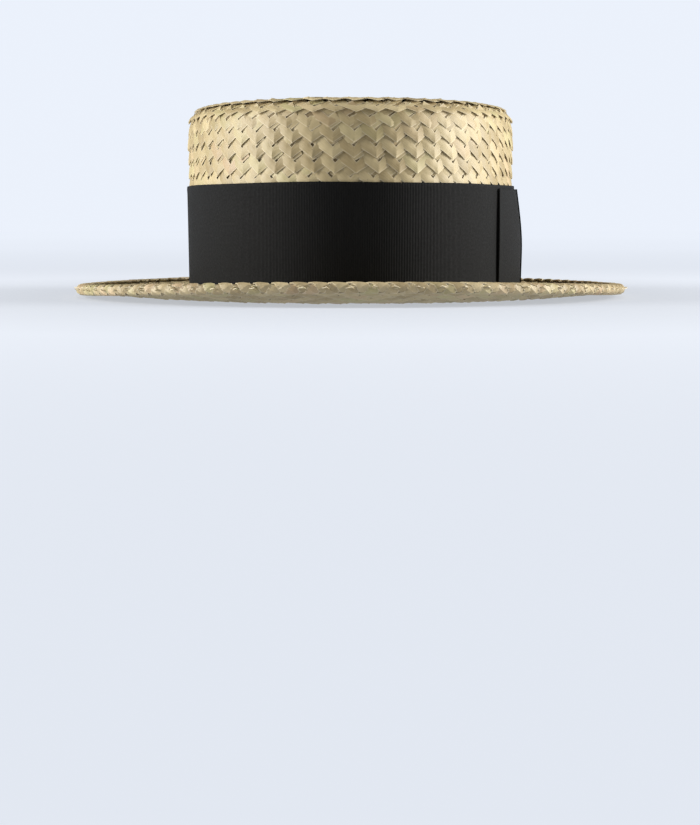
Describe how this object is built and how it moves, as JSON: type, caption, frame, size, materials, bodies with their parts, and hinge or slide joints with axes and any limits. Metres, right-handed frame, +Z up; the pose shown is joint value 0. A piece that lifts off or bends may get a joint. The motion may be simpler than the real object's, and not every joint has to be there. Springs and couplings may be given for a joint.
{
  "type": "straw boater hat",
  "caption": "Stiff straw boater hat: flat-topped oval crown, level round brim with a folded braid edge, wide black ribbon with a flat side bow, leather sweatband inside.",
  "frame": {"origin": "centre of the brim's oval, in the plane of the level ring of brim that the hat lies on", "axes": "+Z up through the crown, -Y towards the front of the hat, +X towards the wearer's left, where the bow is"},
  "size_m": [0.277, 0.294, 0.094],
  "materials": {
    "straw": "satin woven straw",
    "straw_edge": "satin plaited straw",
    "ribbon": "ribbed grosgrain",
    "leather": "smooth dark leather"
  },
  "bodies": {
    "root": {"crown": "straw", "brim": "straw", "rim_binding": "straw_edge", "hat_band": "ribbon", "bow_loop": "ribbon", "bow_knot": "ribbon", "sweatband": "leather"}
  },
  "joints": []
}
